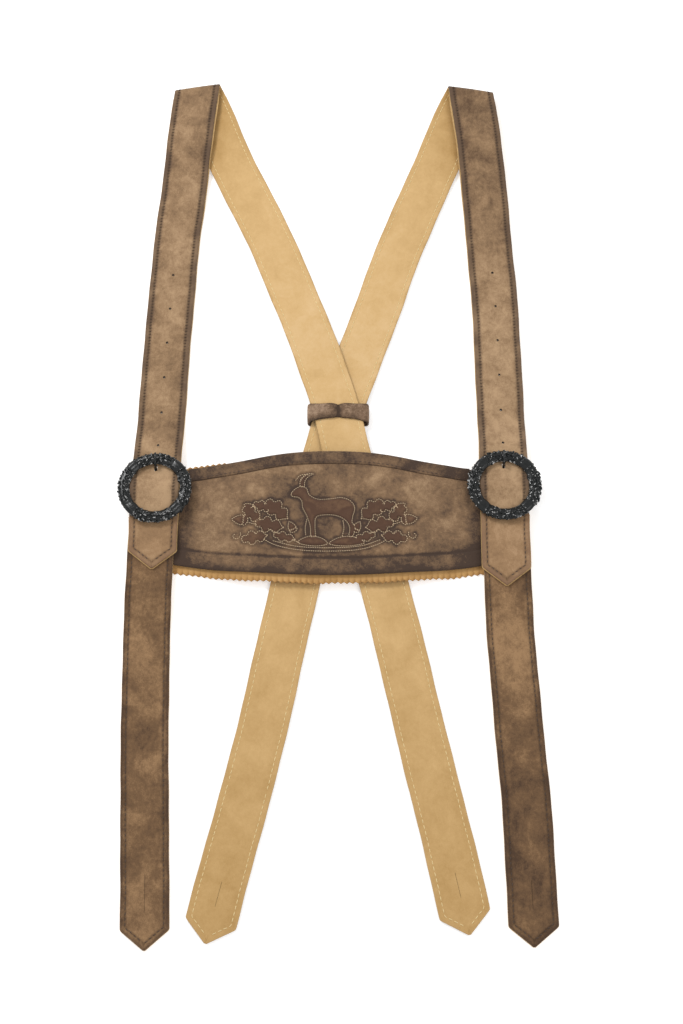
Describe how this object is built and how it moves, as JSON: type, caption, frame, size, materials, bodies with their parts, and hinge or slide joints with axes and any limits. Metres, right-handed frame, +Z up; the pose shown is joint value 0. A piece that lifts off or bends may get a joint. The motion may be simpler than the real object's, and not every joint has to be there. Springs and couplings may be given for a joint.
{
  "type": "suspenders",
  "caption": "Leather braces lying flat: straps fold over at the shoulders, cross at the back through a keeper loop, and join a chest band with round buckles; slit tabs fasten to trousers.",
  "frame": {"origin": "centre of the outer box, on the surface that the braces lie on", "axes": "+X to the right as seen from above, +Y towards the shoulder folds, +Z up from the surface"},
  "size_m": [0.3257, 0.7104, 0.02],
  "materials": {
    "strap_leather": "brown suede, mottled and rubbed darker along the edges",
    "tail_leather": "brown suede, a little lighter",
    "strap_lining": "cream suede",
    "chest_leather": "brown suede, mottled, with darker ends",
    "chest_backing": "tan suede with a pinked edge",
    "chest_padding": "felt",
    "keeper_leather": "dark brown leather",
    "buckle_metal": "blackened, with polished high spots"
  },
  "bodies": {
    "back_straps": {"left_back_leather": "strap_leather", "left_back_lining": "strap_lining", "right_back_leather": "strap_leather", "right_back_lining": "strap_lining", "left_shoulder_leather": "strap_leather", "left_shoulder_lining": "strap_lining", "right_shoulder_leather": "strap_leather", "right_shoulder_lining": "strap_lining"},
    "front_straps": {"left_front_leather": "strap_leather", "left_front_lining": "strap_lining", "left_hanger_leather": "strap_leather", "left_hanger_lining": "strap_lining", "right_front_leather": "strap_leather", "right_front_lining": "strap_lining", "right_hanger_leather": "strap_leather", "right_hanger_lining": "strap_lining", "left_buckle_frame": "buckle_metal", "left_buckle_bar": "buckle_metal", "right_buckle_frame": "buckle_metal", "right_buckle_bar": "buckle_metal", "chest_backing": "chest_backing", "chest_padding": "chest_padding", "chest_panel": "chest_leather", "chest_welt": "chest_leather"},
    "keeper": {"keeper_loop": "keeper_leather"},
    "left_tail": {"left_tail_leather": "tail_leather", "left_tail_lining": "strap_lining"},
    "right_tail": {"right_tail_leather": "tail_leather", "right_tail_lining": "strap_lining"},
    "left_prong": {"left_prong": "buckle_metal"},
    "right_prong": {"right_prong": "buckle_metal"},
    "left_front_tab": {"left_front_tab_leather": "strap_leather", "left_front_tab_lining": "strap_lining"},
    "right_front_tab": {"right_front_tab_leather": "strap_leather", "right_front_tab_lining": "strap_lining"},
    "left_back_tab": {"left_back_tab_leather": "strap_leather", "left_back_tab_lining": "strap_lining"},
    "right_back_tab": {"right_back_tab_leather": "strap_leather", "right_back_tab_lining": "strap_lining"}
  },
  "joints": [
    {"name": "shoulder_fold", "type": "hinge", "parent": "back_straps", "child": "front_straps", "pos_m": [0, 0.351, 0.0045], "axis": [-1, 0, 0], "range_deg": [0, 170], "deforming": ["left_shoulder_leather", "left_shoulder_lining", "right_shoulder_leather", "right_shoulder_lining"]},
    {"name": "keeper_slide", "type": "slide", "parent": "back_straps", "child": "keeper", "axis": [0, 1, 0], "range_m": [-0.002, 0.002]},
    {"name": "left_back_tab_flex", "type": "hinge", "parent": "back_straps", "child": "left_back_tab", "pos_m": [0.07948, -0.25462, 0.0027], "axis": [-0.976, -0.2176, 0], "range_deg": [0, 45]},
    {"name": "right_back_tab_flex", "type": "hinge", "parent": "back_straps", "child": "right_back_tab", "pos_m": [-0.06426, -0.26129, 0.0027], "axis": [-0.9705, 0.2409, 0], "range_deg": [0, 45]},
    {"name": "left_front_tab_flex", "type": "hinge", "parent": "front_straps", "child": "left_front_tab", "pos_m": [-0.13278, -0.26335, 0.0027], "axis": [-0.9989, -0.0469, 0], "range_deg": [0, 45]},
    {"name": "left_tail_flex", "type": "hinge", "parent": "front_straps", "child": "left_tail", "pos_m": [-0.13425, -0.0426, 0.01], "axis": [-1, 0, 0], "range_deg": [0, 50]},
    {"name": "left_prong_hinge", "type": "hinge", "parent": "front_straps", "child": "left_prong", "pos_m": [-0.1339, -0.0123, 0.0084], "axis": [1, 0, 0], "range_deg": [0, 3]},
    {"name": "right_front_tab_flex", "type": "hinge", "parent": "front_straps", "child": "right_front_tab", "pos_m": [0.14332, -0.26101, 0.0027], "axis": [-0.9995, -0.0304, 0], "range_deg": [0, 45]},
    {"name": "right_tail_flex", "type": "hinge", "parent": "front_straps", "child": "right_tail", "pos_m": [0.13381, -0.0404, 0.01], "axis": [-1, 0, 0], "range_deg": [0, 50]},
    {"name": "right_prong_hinge", "type": "hinge", "parent": "front_straps", "child": "right_prong", "pos_m": [0.1338, -0.0101, 0.0084], "axis": [1, 0, 0], "range_deg": [0, 3]}
  ]
}
